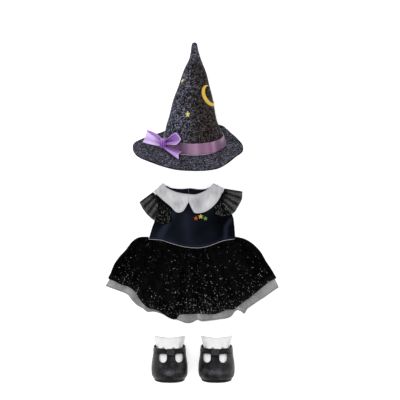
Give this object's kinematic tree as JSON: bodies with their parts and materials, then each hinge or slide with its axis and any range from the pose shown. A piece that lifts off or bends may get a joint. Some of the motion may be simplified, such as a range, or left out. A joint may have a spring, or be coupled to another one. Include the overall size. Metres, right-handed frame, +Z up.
{
  "type": "doll's witch costume",
  "caption": "Doll's witch costume laid flat: pointed hat with ribbon bow, collared dress with flutter sleeves and layered tulle skirt, strap shoes with frilled socks.",
  "frame": {"origin": "middle of the laid-out set's bounding box, on the surface it lies on", "axes": "+Y from the shoes to the hat's tip, +Z up from the surface, +X to the right of the layout"},
  "size_m": [0.2601, 0.5098, 0.1377],
  "materials": {
    "hat_cloth": "napped glitter cloth",
    "ribbon": "satin ribbon",
    "velvet": "short-pile velvet",
    "collar_knit": "smooth knit",
    "dotted_tulle": "tulle with foil dots",
    "black_lining": "matt woven",
    "grey_tulle": "sheer tulle",
    "black_leather": "grained, semi-gloss",
    "sole_rubber": "matt",
    "white_knit": "soft knit"
  },
  "bodies": {
    "root": {"hat_crown": "hat_cloth", "hat_brim": "hat_cloth", "hat_band": "ribbon", "bow_knot": "ribbon", "bow_loop_left": "ribbon", "bow_loop_right": "ribbon", "bow_tail": "ribbon", "bodice_front": "velvet", "bodice_back_left": "velvet", "bodice_back_right": "velvet", "collar_left": "collar_knit", "collar_right": "collar_knit", "sleeve_left": "dotted_tulle", "sleeve_right": "dotted_tulle", "skirt_overlay": "dotted_tulle", "skirt_lining": "black_lining", "petticoat": "grey_tulle", "shoe_left_sole": "sole_rubber", "shoe_left_upper": "black_leather", "shoe_left_strap": "black_leather", "sock_left": "white_knit", "sock_left_frill": "white_knit", "shoe_right_sole": "sole_rubber", "shoe_right_upper": "black_leather", "shoe_right_strap": "black_leather", "sock_right": "white_knit", "sock_right_frill": "white_knit"}
  },
  "joints": []
}
